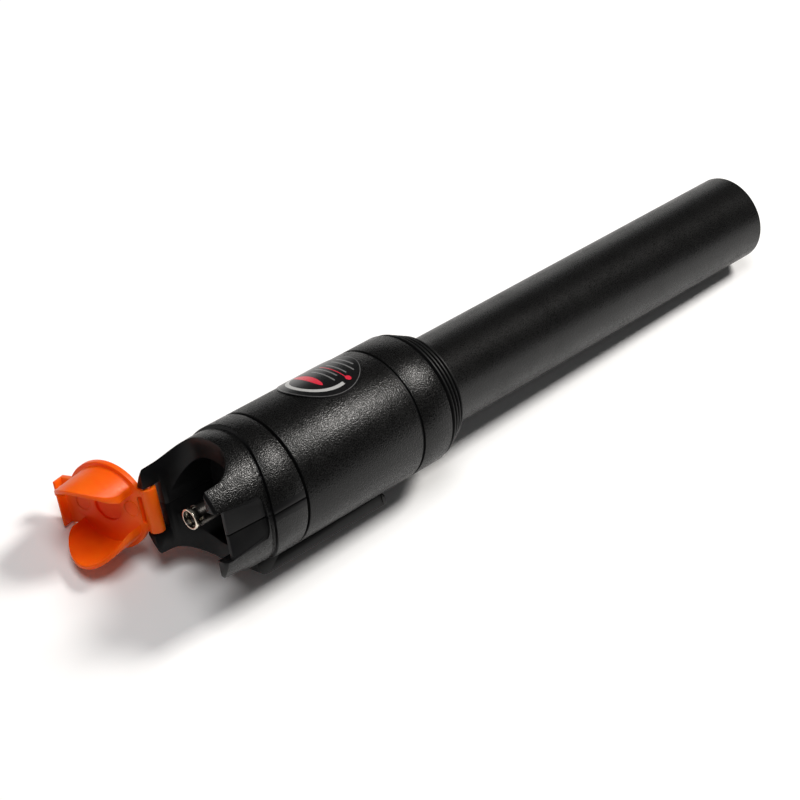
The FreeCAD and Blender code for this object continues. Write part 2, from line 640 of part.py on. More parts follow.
def tail_spring():
    """Conical coil between the tail and the rear cell, bent from short straight lengths."""
    seat_x = TAIL_X + TUBE_END_T + SPRING_WIRE_R
    top_x = CELL_TIP_X - 2 * CELL_L - SPRING_WIRE_R - FACE_GAP
    points = []
    for i in range(SPRING_BENDS + 1):
        share = i / SPRING_BENDS
        angle = 2 * math.pi * SPRING_TURNS * share
        r = SPRING_BIG_R + (SPRING_SMALL_R - SPRING_BIG_R) * share
        points.append(V(seat_x + (top_x - seat_x) * share, r * math.cos(angle), r * math.sin(angle)))
    run = (points[1] - points[0]).normalize()
    side = run.cross(V(1, 0, 0)).normalize()
    other = run.cross(side)
    ring = []
    for i in range(SPRING_WIRE_SIDES + 1):
        angle = 2 * math.pi * (i % SPRING_WIRE_SIDES) / SPRING_WIRE_SIDES
        ring.append(points[0] + (side * math.cos(angle) + other * math.sin(angle)) * SPRING_WIRE_R)
    path = Part.makePolygon(points)
    return path.makePipeShell([Part.makePolygon(ring)], True, False, 1)


# ---------------------------------------------------------------- pocket clip
def pocket_clip():
    """Strip under the barrel with a foot in the lower shell and a bump near its tip."""
    top_z = CLIP_BOTTOM_Z + CLIP_T
    strip = slab(CLIP_TIP_X, CLIP_FRONT_X, CLIP_HALF, CLIP_BOTTOM_Z, top_z)
    strip = round_edges(strip, CLIP_TIP_R, lambda e: along(e, V(0, 0, 1))
                        and e.BoundBox.XMax < CLIP_TIP_X + 1)
    root = slab(CLIP_ROOT_X, CLIP_FRONT_X, CLIP_HALF, CLIP_BOTTOM_Z, CLIP_ROOT_TOP_Z)
    clip = strip.fuse(root).removeSplitter()
    clip = round_edges(clip, CLIP_FRONT_R, lambda e: along(e, V(0, 1, 0))
                       and e.BoundBox.XMin > CLIP_FRONT_X - 0.01 and e.BoundBox.ZMax < CLIP_BOTTOM_Z + 0.01)
    clip = clip.cut(rod(CLIP_TIP_X - 1, NOSE_X, BODY_R + CLIP_SEAT))
    foot = slab(CLIP_ROOT_X, CLIP_FOOT_FRONT_X, CLIP_FOOT_HALF, top_z, CLIP_FOOT_TOP_Z)
    bump_z = -(BODY_R + CLIP_BUMP_GAP + CLIP_BUMP_R)
    bump = plug(CLIP_BUMP_X, bump_z, -CLIP_HALF, CLIP_HALF, CLIP_BUMP_R)
    bump = bump.common(slab(CLIP_TIP_X, CLIP_FRONT_X, CLIP_HALF, CLIP_BOTTOM_Z, 0))
    bump = bump.cut(rod(CLIP_TIP_X - 1, NOSE_X, BODY_R + CLIP_BUMP_GAP))
    thread = post(CLIP_SCREW_X, 0, CLIP_SCREW_HEAD_Z - CLIP_SCREW_L, 0, CLIP_SCREW_R + PIN_FIT)
    return clip.fuse([foot, bump]).cut(thread).removeSplitter()


def clip_screw():
    top_z = CLIP_SCREW_HEAD_Z
    head = post(CLIP_SCREW_X, 0, top_z - CLIP_SCREW_HEAD_T, top_z, CLIP_SCREW_HEAD_R)
    shank = post(CLIP_SCREW_X, 0, top_z - CLIP_SCREW_L + PIN_FIT, top_z, CLIP_SCREW_R)
    return head.fuse(shank).removeSplitter()


# ---------------------------------------------------------------- assembly
def make_parts():
    return {
        "head_upper_shell": head_half(True),
        "head_lower_shell": head_half(False),
        "hinge_pin": hinge_pin(),
        "latch_pin": latch_pin(),
        "lid": lid(),
        "port_sleeve": port_sleeve(),
        "ceramic_sleeve": ceramic_sleeve(),
        "laser_housing": laser_housing(),
        "focusing_lens": focusing_lens(),
        "lens_ring": lens_ring(),
        "laser_diode": laser_diode(),
        "barrel": barrel(),
        "label": label(),
        "circuit_board": circuit_board(),
        "driver_chip": driver_chip(),
        "tact_switch": tact_switch(),
        "switch_plunger": switch_plunger(),
        "push_button": push_button(),
        "contact_holder": contact_holder(),
        "front_contact": front_contact(),
        "seal_washer": seal_washer(),
        "battery_tube": battery_tube(),
        "battery_front": cell(CELL_TIP_X),
        "battery_rear": cell(CELL_TIP_X - CELL_L),
        "tail_spring": tail_spring(),
        "pocket_clip": pocket_clip(),
        "clip_screw": clip_screw(),
    }


def resting_turn(parts):
    """Turn that lays the pen on its tail rim, its clip and the open lid."""
    feet = [parts[name].tessellate(0.02)[0] for name in ("battery_tube", "pocket_clip", "lid")]
    down = V(0, -0.5, -1).normalize()
    for _ in range(12):
        a, b, c = (max(points, key=lambda p: p.dot(down)) for points in feet)
        normal = (b - a).cross(c - a).normalize()
        down = normal if normal.dot(down) > 0 else -normal
    up = -down
    along_pen = (V(1, 0, 0) - up * up.x).normalize()
    across = up.cross(along_pen)
    return FreeCAD.Rotation(along_pen, across, up, "XYZ").inverted()


def rest_placement(parts):
    """Resting turn, then a shift that puts the origin under the middle of the object."""
    turn = FreeCAD.Placement(V(0, 0, 0), resting_turn(parts))
    low, high = V(FAR, FAR, FAR), V(-FAR, -FAR, -FAR)
    for shape in parts.values():
        for p in shape.tessellate(0.02)[0]:
            q = turn.multVec(p)
            low = V(min(low.x, q.x), min(low.y, q.y), min(low.z, q.z))
            high = V(max(high.x, q.x), max(high.y, q.y), max(high.z, q.z))
    shift = V(-(low.x + high.x) / 2, -(low.y + high.y) / 2, -low.z)
    return FreeCAD.Placement(shift, turn.Rotation)


def main():
    os.makedirs("parts", exist_ok=True)
    parts = make_parts()
    rest = rest_placement(parts)
    for name, shape in parts.items():
        shape.Placement = rest.multiply(shape.Placement)
        shape.exportStep("parts/" + name + ".step")
    return parts, rest


if __name__ == "__main__":
    main()
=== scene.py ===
import json
import math

import bpy
from mathutils import Matrix, Vector

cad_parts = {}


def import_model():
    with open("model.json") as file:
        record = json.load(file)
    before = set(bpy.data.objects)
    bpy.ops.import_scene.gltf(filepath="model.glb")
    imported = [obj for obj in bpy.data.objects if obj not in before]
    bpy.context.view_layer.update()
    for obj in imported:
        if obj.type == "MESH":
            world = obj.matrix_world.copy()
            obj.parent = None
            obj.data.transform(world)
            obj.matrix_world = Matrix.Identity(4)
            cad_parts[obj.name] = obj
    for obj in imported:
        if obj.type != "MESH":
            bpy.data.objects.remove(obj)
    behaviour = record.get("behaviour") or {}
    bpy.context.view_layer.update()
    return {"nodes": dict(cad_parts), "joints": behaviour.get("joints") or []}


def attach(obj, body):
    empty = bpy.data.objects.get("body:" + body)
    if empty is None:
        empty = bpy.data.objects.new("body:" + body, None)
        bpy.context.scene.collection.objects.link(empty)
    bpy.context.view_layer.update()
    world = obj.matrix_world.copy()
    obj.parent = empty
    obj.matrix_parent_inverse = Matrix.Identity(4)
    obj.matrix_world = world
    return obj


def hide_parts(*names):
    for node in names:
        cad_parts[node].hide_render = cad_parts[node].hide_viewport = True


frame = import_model()

# A visual fault locator. Pieces are modelled with the pen lying along X, nose
# towards +X, the lid's latch on +Y and the label on +Z, and are laid down with
# the CAD at the end. Sizes below are in millimetres, and MM turns them to metres.
MM = 0.001
COLLAR_FRONT_X = -28.8       # where the battery tube's screw axis is stated
ROUND_STEPS = 128
SAME_POINT = 0.001           # points of a CAD node closer than this are one
SAME_POINT_SHAPED = 0.002    # the same for a turned or cut piece
SAME_PLANE = 0.4             # degrees between faces that count as one plane
BEVEL_ANGLE = 30
SMOOTH_ANGLE = 32
SIDEWAYS = 0.5               # a normal with less than this along the pen faces sideways


def vec(x, y, z):
    return Vector((x * MM, y * MM, z * MM))


def pen_placement():
    """The pen's own frame, from the axes of its joints."""
    joints = {joint["name"]: joint for joint in frame["joints"]}
    along = -Vector(joints["tube_advance"]["axis"]).normalized()
    up = Vector(joints["lid_swing"]["axis"]).normalized()
    across = up.cross(along).normalized()
    origin = Vector(joints["tube_turn"]["pos_m"]) - along * COLLAR_FRONT_X * MM
    turn = Matrix((along, across, up)).transposed().to_4x4()
    return Matrix.Translation(origin) @ turn


PEN = pen_placement()


# ------------------------------------------------------------------ handling of pieces
def deselect():
    bpy.ops.object.select_all(action="DESELECT")


def pick(piece):
    """Only this piece is selected and active."""
    deselect()
    piece.select_set(True)
    bpy.context.view_layer.objects.active = piece


def edit(piece, mode="FACE"):
    pick(piece)
    bpy.ops.object.mode_set(mode="EDIT")
    bpy.ops.mesh.select_mode(type=mode)


def leave_edit():
    bpy.ops.object.mode_set(mode="OBJECT")


def apply_modifier(piece, kind, **settings):
    """Adds a modifier and applies it."""
    pick(piece)
    bpy.ops.object.modifier_add(type=kind)
    modifier = piece.modifiers[-1]
    for name, value in settings.items():
        setattr(modifier, name, value)
    bpy.ops.object.modifier_apply(modifier=modifier.name)


def bevel_edges(piece, width, segments=2):
    apply_modifier(piece, "BEVEL", width=width * MM, segments=segments, limit_method="ANGLE",
                   angle_limit=math.radians(BEVEL_ANGLE), use_clamp_overlap=False,
                   miter_outer="MITER_ARC")


def smooth(piece, angle=SMOOTH_ANGLE):
    pick(piece)
    bpy.ops.object.shade_smooth_by_angle(angle=math.radians(angle))


def lay_down(piece):
    """From the pen's own frame to its place among the CAD nodes."""
    pick(piece)
    piece.matrix_world = PEN @ piece.matrix_world
    bpy.ops.object.transform_apply(location=True, rotation=True, scale=True)


def finish_piece(piece, body, slot, *nodes):
    lay_down(piece)
    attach(piece, body)
    if nodes:
        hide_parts(*nodes)


def merge_all(distance):
    """In edit mode: everything selected, and its close points made one."""
    bpy.ops.mesh.select_all(action="SELECT")
    bpy.ops.mesh.remove_doubles(threshold=distance * MM)


def copy_of(node, name):
    """A closed copy of a CAD node, in the pen's own frame."""
    pick(frame["nodes"][node])
    bpy.ops.object.duplicate(linked=False)
    piece = bpy.context.view_layer.objects.active
    piece.name = name
    piece.parent = None
    for key in list(piece.keys()):
        if key.startswith("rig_"):
            del piece[key]
    piece.matrix_world = PEN.inverted()
    piece.data.materials.clear()
    bpy.ops.object.transform_apply(location=True, rotation=True, scale=True)
    edit(piece, "VERT")
    merge_all(SAME_POINT)
    bpy.ops.mesh.dissolve_limited(angle_limit=math.radians(SAME_PLANE))
    leave_edit()
    if piece.data.has_custom_normals:
        bpy.ops.mesh.customdata_custom_splitnormals_clear()
    return piece


def turned(name, outline, steps=ROUND_STEPS):
    """A turned piece: its outline, drawn point by point from (x, radius), spun about the axis."""
    deselect()
    x, r = outline[0]
    bpy.ops.mesh.primitive_plane_add(size=MM, location=vec(x, r, 0))
    piece = bpy.context.active_object
    piece.name = name
    bpy.ops.object.transform_apply(location=True)
    edit(piece, "VERT")
    bpy.ops.mesh.select_all(action="SELECT")
    bpy.ops.mesh.merge(type="CENTER")
    for next_x, next_r in outline[1:]:
        step = vec(next_x - x, next_r - r, 0)
        bpy.ops.mesh.extrude_vertices_move(TRANSFORM_OT_translate={"value": step})
        x, r = next_x, next_r
    bpy.ops.mesh.select_all(action="SELECT")
    bpy.ops.mesh.spin(steps=steps, angle=2 * math.pi, center=(0, 0, 0), axis=(1, 0, 0))
    merge_all(SAME_POINT_SHAPED)
    bpy.ops.mesh.normals_make_consistent(inside=False)
    leave_edit()
    return piece


def block(name, low, high):
    """A block between two corners, as stock for a cut or a join."""
    deselect()
    middle = [(a + b) / 2 for a, b in zip(low, high)]
    bpy.ops.mesh.primitive_cube_add(size=MM, location=vec(*middle))
    piece = bpy.context.active_object
    piece.name = name
    piece.scale = [b - a for a, b in zip(low, high)]
    bpy.ops.object.transform_apply(location=True, scale=True)
    return piece


def combine(piece, other, operation):
    """Joins the other piece on, or cuts it out, and removes it."""
    apply_modifier(piece, "BOOLEAN", operation=operation, solver="EXACT", object=other)
    pick(other)
    bpy.ops.object.delete()
    edit(piece, "VERT")
    merge_all(SAME_POINT_SHAPED)
    bpy.ops.mesh.dissolve_limited(angle_limit=math.radians(SAME_PLANE))
    leave_edit()


def give_material(piece, *materials):
    piece.data.materials.clear()
    for material in materials:
        piece.data.materials.append(material)


def paint_faces(piece, index, wanted):
    """The faces that wanted(centre in mm, normal) picks get the material of that slot."""
    for face in piece.data.polygons:
        if wanted(face.center / MM, face.normal):
            face.material_index = index


def from_axis(point):
    return math.hypot(point.y, point.z)


# ------------------------------------------------------------------ parts of materials
PATCH = 5.0                  # size of the broad, faint unevenness
MIDDLE = {"from_low": 0.3, "from_high": 0.7}    # where a noise's values mostly lie
COAT_TONES = (0.35, 0.65)
COAT_GLOSS = {"from_low": 0.40, "from_high": 0.60}
COAT_WEAR = 0.03             # roughness up or down
COAT_IOR = 1.3
COAT_SHINE = (0.70, 0.10)    # specular level, face on and turned away
COAT_TURN = {"from_low": 0.25, "from_high": 0.80}
PLASTIC_IOR = 1.33
PLASTIC_SHINE = 0.35         # specular level
METAL_GRAIN = 0.12
METAL_DEPTH = 0.004
METAL_PATCH = 1.5
GLASS_PATCH = 0.8


def new_material(name):
    material = bpy.data.materials.new(name)
    material.use_nodes = True
    nodes = material.node_tree.nodes
    return material, nodes, material.node_tree.links, nodes["Principled BSDF"]


def object_coordinates(nodes, links):
    """Object coordinates through a Mapping node."""
    place = nodes.new("ShaderNodeTexCoord")
    mapping = nodes.new("ShaderNodeMapping")
    links.new(place.outputs["Object"], mapping.inputs["Vector"])
    return mapping.outputs["Vector"]


def pen_coordinates(nodes, links):
    """Object coordinates turned back to the pen's own frame, in millimetres."""
    place = nodes.new("ShaderNodeTexCoord")
    mapping = nodes.new("ShaderNodeMapping")
    mapping.vector_type = "POINT"
    back = Matrix.Scale(1.0 / MM, 4) @ PEN.inverted()
    mapping.inputs["Location"].default_value = back.to_translation()
    mapping.inputs["Rotation"].default_value = back.to_euler("XYZ")
    mapping.inputs["Scale"].default_value = back.to_scale()
    links.new(place.outputs["Object"], mapping.inputs["Vector"])
    return mapping.outputs["Vector"]


def noise(nodes, links, vector, scale, detail=3.0, roughness=0.55):
    texture = nodes.new("ShaderNodeTexNoise")
    texture.inputs["Scale"].default_value = scale
    texture.inputs["Detail"].default_value = detail
    texture.inputs["Roughness"].default_value = roughness
    links.new(vector, texture.inputs["Vector"])
    return texture.outputs["Fac"]


def ramp(nodes, links, factor, *stops):
    """Colour ramp from (position, colour) stops."""
    node = nodes.new("ShaderNodeValToRGB")
    elements = node.color_ramp.elements
    for element, (position, colour) in zip(elements, stops):
        element.position = position
        element.color = (*colour, 1.0)
    links.new(factor, node.inputs["Fac"])
    return node.outputs["Color"]


def span(nodes, links, factor, low, high, from_low=0.0, from_high=1.0):
    """A value that goes from low to high as the factor goes from from_low to from_high."""
    node = nodes.new("ShaderNodeMapRange")
    node.inputs["From Min"].default_value = from_low
    node.inputs["From Max"].default_value = from_high
    node.inputs["To Min"].default_value = low
    node.inputs["To Max"].default_value = high
    links.new(factor, node.inputs["Value"])
    return node.outputs["Result"]


def bump(nodes, links, height, depth, strength=1.0):
    """Bump of that depth in millimetres."""
    node = nodes.new("ShaderNodeBump")
    node.inputs["Strength"].default_value = strength
    node.inputs["Distance"].default_value = depth * MM
    links.new(height, node.inputs["Height"])
    return node.outputs["Normal"]


def math_node(nodes, links, operation, a, b=None):
    node = nodes.new("ShaderNodeMath")
    node.operation = operation
    for socket, value in zip(node.inputs, (a, b)):
        if value is None:
            continue
        if isinstance(value, (int, float)):
            socket.default_value = value
        else:
            links.new(value, socket)
    return node.outputs["Value"]


# ------------------------------------------------------------------ kinds of finish
def textured_coat(name, grain, depth, dark, light, roughness):
    """Powder coat of small rounded grains, some glossier than the rest, so that they glint."""
    material, nodes, links, shader = new_material(name)
    vector = object_coordinates(nodes, links)
    grains = noise(nodes, links, vector, 1.0 / (grain * MM), detail=0.6, roughness=0.4)
    gloss = noise(nodes, links, vector, 1.3 / (grain * MM), detail=0.0)
    patches = noise(nodes, links, vector, 1.0 / (PATCH * MM), detail=2.0)
    links.new(bump(nodes, links, grains, depth), shader.inputs["Normal"])
    links.new(ramp(nodes, links, grains, *zip(COAT_TONES, (dark, light))),
              shader.inputs["Base Color"])
    smoothest, roughest = roughness
    glint = span(nodes, links, gloss, roughest, smoothest, **COAT_GLOSS)
    wear = span(nodes, links, patches, -COAT_WEAR, COAT_WEAR, **MIDDLE)
    links.new(math_node(nodes, links, "ADD", glint, wear), shader.inputs["Roughness"])
    shader.inputs["IOR"].default_value = COAT_IOR
    # The grains shade each other where the surface turns away, so the edge stays dark.
    facing = nodes.new("ShaderNodeLayerWeight")
    facing.inputs["Blend"].default_value = 0.5
    shine = span(nodes, links, facing.outputs["Facing"], *COAT_SHINE, **COAT_TURN)
    links.new(shine, shader.inputs["Specular IOR Level"])
    return material


def smooth_plastic(name, dark, light, roughness, depth=0.01, grain=0.5):
    """Moulded plastic with a faint unevenness."""
    material, nodes, links, shader = new_material(name)
    vector = object_coordinates(nodes, links)
    fine = noise(nodes, links, vector, 1.0 / (grain * MM), detail=3.0)
    broad = noise(nodes, links, vector, 1.0 / (PATCH * MM), detail=2.0)
    links.new(bump(nodes, links, fine, depth, strength=0.5), shader.inputs["Normal"])
    links.new(ramp(nodes, links, broad, (0.3, dark), (0.7, light)), shader.inputs["Base Color"])
    links.new(span(nodes, links, fine, *roughness, **MIDDLE), shader.inputs["Roughness"])
    shader.inputs["IOR"].default_value = PLASTIC_IOR
    shader.inputs["Specular IOR Level"].default_value = PLASTIC_SHINE
    return material


def turned_metal(name, dark, light, roughness):
    """Metal with a very fine unevenness of its surface and its gloss."""
    material, nodes, links, shader = new_material(name)
    vector = object_coordinates(nodes, links)
    fine = noise(nodes, links, vector, 1.0 / (METAL_GRAIN * MM), detail=2.0)
    broad = noise(nodes, links, vector, 1.0 / (METAL_PATCH * MM), detail=3.0)
    links.new(bump(nodes, links, fine, METAL_DEPTH, strength=0.6), shader.inputs["Normal"])
    links.new(ramp(nodes, links, broad, (0.3, dark), (0.7, light)), shader.inputs["Base Color"])
    links.new(span(nodes, links, fine, *roughness, **MIDDLE), shader.inputs["Roughness"])
    shader.inputs["Metallic"].default_value = 1.0
    return material


def lid_orange():
    """Orange moulded plastic, a little translucent."""
    material = smooth_plastic("lid_orange", dark=(0.98, 0.105, 0.0015), light=(1.0, 0.135, 0.0025),
                              roughness=(0.34, 0.46), depth=0.012, grain=0.6)
    shader = material.node_tree.nodes["Principled BSDF"]
    shader.inputs["IOR"].default_value = 1.4
    shader.inputs["Subsurface Weight"].default_value = 0.45
    shader.inputs["Subsurface Radius"].default_value = (1.0, 0.16, 0.03)
    shader.inputs["Subsurface Scale"].default_value = 2.2 * MM
    return material


def clear_glass():
    material, nodes, links, shader = new_material("clear_glass")
    vector = object_coordinates(nodes, links)
    fine = noise(nodes, links, vector, 1.0 / (GLASS_PATCH * MM), detail=2.0)
    links.new(span(nodes, links, fine, low=0.01, high=0.06), shader.inputs["Roughness"])
    shader.inputs["Base Color"].default_value = (0.93, 0.97, 1.0, 1.0)
    shader.inputs["Transmission Weight"].default_value = 1.0
    return material


# ------------------------------------------------------------------ print on the label
LABEL_X = -17.6
LABEL_HALF_L = 8.3
LABEL_HALF_W = 7.05
LABEL_DARK = (0.004, 0.004, 0.0045)
LABEL_LIGHT = (0.006, 0.006, 0.006)
LABEL_GRAIN = 0.5
LABEL_ROUGHNESS = (0.24, 0.34)
PALE_PRINT = (0.42, 0.42, 0.41)
FAINT_PRINT = (0.15, 0.15, 0.15)
RED_PRINT = (0.62, 0.025, 0.05)
EDGE_LINE = (0.955, 0.967)   # inner and outer size of a ring, as shares of the label
ARC = (0.70, 0.80)
ARC_BACK_X = LABEL_X - 1.2   # the arc is the part of its ring in front of this
ROW_HALF_W = 0.16
ROWS = ((-24.0, 0.0, 2.3), (-22.8, 0.7, 3.0), (-21.2, 0.7, 2.7), (-19.3, 0.0, 3.0),
        (-18.0, 0.7, 3.1))   # x, y and half length of each faint bar
RED_OVAL = ((-15.4, -0.6), (0.8, 4.0))
RED_SPOT = ((-20.4, 4.7), (0.55, 0.6))
RED_BAR = ((-20.2, 0.9), (0.1, 3.6))


def label_shape(nodes, links, place, centre, half, round_ends):
    """1 inside an oval or a bar at centre, half its size each way, and 0 outside."""
    shares = []
    for value, middle, reach in zip(place, centre, half):
        offset = math_node(nodes, links, "SUBTRACT", value, middle)
        share = math_node(nodes, links, "DIVIDE", offset, reach)
        shares.append(math_node(nodes, links, "ABSOLUTE", share))
    if round_ends:
        squares = [math_node(nodes, links, "MULTIPLY", share, share) for share in shares]
        size = math_node(nodes, links, "ADD", *squares)
    else:
        size = math_node(nodes, links, "MAXIMUM", *shares)
    return math_node(nodes, links, "LESS_THAN", size, 1.0)


def label_ring(nodes, links, place, inner, outer):
    """1 between two sizes of the label's own oval, and 0 elsewhere."""
    inside, whole = [
        label_shape(nodes, links, place, (LABEL_X, 0.0),
                    (LABEL_HALF_L * share, LABEL_HALF_W * share), True)
        for share in (inner, outer)]
    return math_node(nodes, links, "SUBTRACT", whole, inside)


def printed_over(nodes, links, ground, shape, colour):
    """The ground with a colour where the shape is."""
    mix = nodes.new("ShaderNodeMix")
    mix.data_type = "RGBA"
    factor, ground_socket, colour_socket = mix.inputs[0], mix.inputs[6], mix.inputs[7]
    links.new(shape, factor)
    links.new(ground, ground_socket)
    colour_socket.default_value = (*colour, 1.0)
    return mix.outputs[2]


def label_print():
    """Black label: a fine line inside its edge, a pale arc, faint bars, a red oval, spot, bar."""
    material, nodes, links, shader = new_material("label_print")
    vector = pen_coordinates(nodes, links)
    axes = nodes.new("ShaderNodeSeparateXYZ")
    links.new(vector, axes.inputs["Vector"])
    place = (axes.outputs["X"], axes.outputs["Y"])
    fine = noise(nodes, links, vector, 1.0 / LABEL_GRAIN, detail=2.0)
    colour = ramp(nodes, links, fine, (0.3, LABEL_DARK), (0.7, LABEL_LIGHT))
    edge_line = label_ring(nodes, links, place, *EDGE_LINE)
    front = math_node(nodes, links, "GREATER_THAN", place[0], ARC_BACK_X)
    arc = math_node(nodes, links, "MULTIPLY", label_ring(nodes, links, place, *ARC), front)
    colour = printed_over(nodes, links, colour, edge_line, FAINT_PRINT)
    colour = printed_over(nodes, links, colour, arc, PALE_PRINT)
    for x, y, half in ROWS:
        bar = label_shape(nodes, links, place, (x, y), (ROW_HALF_W, half), False)
        colour = printed_over(nodes, links, colour, bar, FAINT_PRINT)
    for (centre, half), round_ends in ((RED_OVAL, True), (RED_SPOT, True), (RED_BAR, False)):
        mark = label_shape(nodes, links, place, centre, half, round_ends)
        colour = printed_over(nodes, links, colour, mark, RED_PRINT)
    links.new(colour, shader.inputs["Base Color"])
    links.new(span(nodes, links, fine, *LABEL_ROUGHNESS), shader.inputs["Roughness"])
    shader.inputs["IOR"].default_value = PLASTIC_IOR
    return material


# ------------------------------------------------------------------ the finishes themselves
COAT_DARK = (0.0012, 0.0012, 0.0012)
COAT = textured_coat("black_coat", grain=0.23, depth=0.062, dark=COAT_DARK,
                     light=(0.004, 0.004, 0.0038), roughness=(0.19, 0.40))
TUBE_COAT = textured_coat("black_coat_fine", grain=0.20, depth=0.030, dark=COAT_DARK,
                          light=(0.003, 0.003, 0.0028), roughness=(0.24, 0.38))
GLOSS_BLACK = smooth_plastic("gloss_black", dark=(0.0025, 0.0025, 0.003),
                             light=(0.004, 0.004, 0.004), roughness=(0.34, 0.42), depth=0.002)
SATIN_BLACK = smooth_plastic("satin_black", dark=(0.004, 0.004, 0.0045),
                             light=(0.008, 0.008, 0.008), roughness=(0.36, 0.46),
                             depth=0.008, grain=0.3)
CLIP_BLACK = smooth_plastic("clip_black", dark=(0.005, 0.005, 0.005), light=(0.010, 0.010, 0.010),
                            roughness=(0.30, 0.40), depth=0.008, grain=0.4)
LID_ORANGE = lid_orange()
NICKEL = turned_metal("nickel_plate", dark=(0.70, 0.62, 0.50), light=(0.83, 0.77, 0.66),
                      roughness=(0.16, 0.28))
# A darker copy of the same nickel: painted shade for the port's neck and bore.
PAINTED_SHADE_NICKEL = turned_metal("nickel_painted_shade", dark=(0.07, 0.065, 0.06), light=(0.12, 0.11, 0.10),
                           roughness=(0.24, 0.34))
STEEL = turned_metal("bright_steel", dark=(0.62, 0.61, 0.60), light=(0.74, 0.73, 0.71),
                     roughness=(0.2, 0.34))
BRASS = turned_metal("turned_brass", dark=(0.72, 0.50, 0.22), light=(0.84, 0.62, 0.32),
                     roughness=(0.2, 0.34))
GOLD = turned_metal("gold_plate", dark=(0.86, 0.64, 0.30), light=(0.95, 0.75, 0.42),
                    roughness=(0.18, 0.3))
CAN = turned_metal("wrapped_can", dark=(0.50, 0.51, 0.53), light=(0.62, 0.63, 0.65),
                   roughness=(0.3, 0.42))
CERAMIC = smooth_plastic("cream_ceramic", dark=(0.80, 0.75, 0.62), light=(0.88, 0.84, 0.73),
                         roughness=(0.15, 0.25), depth=0.003)
RUBBER_RED = smooth_plastic("red_rubber", dark=(0.30, 0.012, 0.010), light=(0.38, 0.022, 0.016),
                            roughness=(0.55, 0.7), depth=0.02, grain=0.3)
RESIN = smooth_plastic("black_resin", dark=(0.014, 0.014, 0.015), light=(0.024, 0.024, 0.025),
                       roughness=(0.4, 0.55), depth=0.01, grain=0.2)
LAMINATE = smooth_plastic("green_laminate", dark=(0.010, 0.115, 0.035), light=(0.018, 0.16, 0.05),
                          roughness=(0.3, 0.42), depth=0.008, grain=0.3)
GLASS = clear_glass()
LABEL = label_print()


# ------------------------------------------------------------------ CAD nodes that stay
def dress_kept_nodes():
    finishes = {
        "hinge_pin": STEEL, "latch_pin": STEEL, "clip_screw": STEEL, "tail_spring": STEEL,
        "laser_housing": BRASS, "lens_ring": BRASS, "front_contact": BRASS,
        "focusing_lens": GLASS, "laser_diode": GOLD,
        "circuit_board": LAMINATE, "driver_chip": RESIN,
        "tact_switch": RESIN, "contact_holder": RESIN,
        "switch_plunger": RUBBER_RED, "push_button": RUBBER_RED,
        "battery_front": CAN, "battery_rear": CAN,
        "label": LABEL,
    }
    for node, material in finishes.items():
        for slot in frame["nodes"][node].material_slots:
            slot.material = material


dress_kept_nodes()


# ------------------------------------------------------------------ metal port
PORT_FRONT_X = 16.3
PORT_EDGE = 0.04
MOUTH_R = 1.72
MOUTH_IN_R = 1.38
MOUTH_T = 0.35
MOUTH_DEPTH = 0.55
MOUTH_STEPS = 64
NECK_FRONT_X = 15.2
BORE_MARGIN = 0.05
NOTCH_W = 0.5
NOTCH_REACH = 2.0
NOTCH_CUTS = 3               # each cuts right across, so it leaves two notches
NOTCH_START = 15
SPLIT_SLEEVE_SETBACK = 1.2
SPLIT_SLEEVE_EDGE = 0.05
SPLIT_SLEEVE_END = 0.01      # points this near its front are its front end


def is_nickel_painted_shade(centre, normal):
    """The neck behind the bright ring, and the bore, which get painted shade: a darker copy of the
    nickel.
    """
    in_bore = from_axis(centre) < MOUTH_R + BORE_MARGIN and abs(normal.x) < SIDEWAYS
    return centre.x < NECK_FRONT_X or in_bore


def port_lip():
    """A lip inside the port's mouth, cut into castellations."""
    front_x = PORT_FRONT_X - MOUTH_DEPTH
    back_x = front_x - MOUTH_T
    lip = turned("port_lip", [(front_x, MOUTH_IN_R), (front_x, MOUTH_R), (back_x, MOUTH_R),
                              (back_x, MOUTH_IN_R), (front_x, MOUTH_IN_R)], MOUTH_STEPS)
    for cut in range(NOTCH_CUTS):
        cutter = block("notch_cutter", (front_x - 2 * MOUTH_T, -NOTCH_REACH, -NOTCH_W / 2),
                       (front_x + MOUTH_T, NOTCH_REACH, NOTCH_W / 2))
        cutter.rotation_euler = (math.radians(180 / NOTCH_CUTS * cut + NOTCH_START), 0, 0)
        combine(lip, cutter, "DIFFERENCE")
    return lip


def port_piece():
    """The metal sleeve with the castellated lip inside its front ring."""
    piece = copy_of("port_sleeve", "port_sleeve_turned")
    lip = port_lip()
    give_material(piece, NICKEL, PAINTED_SHADE_NICKEL)
    # The neck and the bore get the darker copy of the nickel as painted shade.
    paint_faces(piece, 1, is_nickel_painted_shade)
    give_material(lip, NICKEL)
    for part in (piece, lip):
        bevel_edges(part, PORT_EDGE)
        smooth(part)
    finish_piece(lip, "root", "nickel")
    finish_piece(piece, "root", "nickel", "port_sleeve")


def ceramic_piece():
    """The split sleeve, its front end moved a little back from the mouth."""
    piece = copy_of("ceramic_sleeve", "split_sleeve")
    give_material(piece, CERAMIC)
    edit(piece, "VERT")
    bpy.ops.mesh.select_all(action="DESELECT")
    leave_edit()
    front_x = max(vertex.co.x for vertex in piece.data.vertices)
    for vertex in piece.data.vertices:
        vertex.select = vertex.co.x > front_x - SPLIT_SLEEVE_END * MM
    edit(piece, "VERT")
    bpy.ops.transform.translate(value=vec(-SPLIT_SLEEVE_SETBACK, 0, 0))
    leave_edit()
    bevel_edges(piece, SPLIT_SLEEVE_EDGE)
    smooth(piece)
    finish_piece(piece, "root", "ceramic", "ceramic_sleeve")


# ------------------------------------------------------------------ head
HEAD_EDGE = 0.12
HEAD_SKIN_R = 10.9           # the outer skin lies beyond this
HEAD_SKIN_FACING = 0.93      # and faces this much outwards
FLAT_FACING = 0.995          # the flats face sideways as squarely as this
FLAT_Y = 11.0
FLAT_BACK_X = 8.0


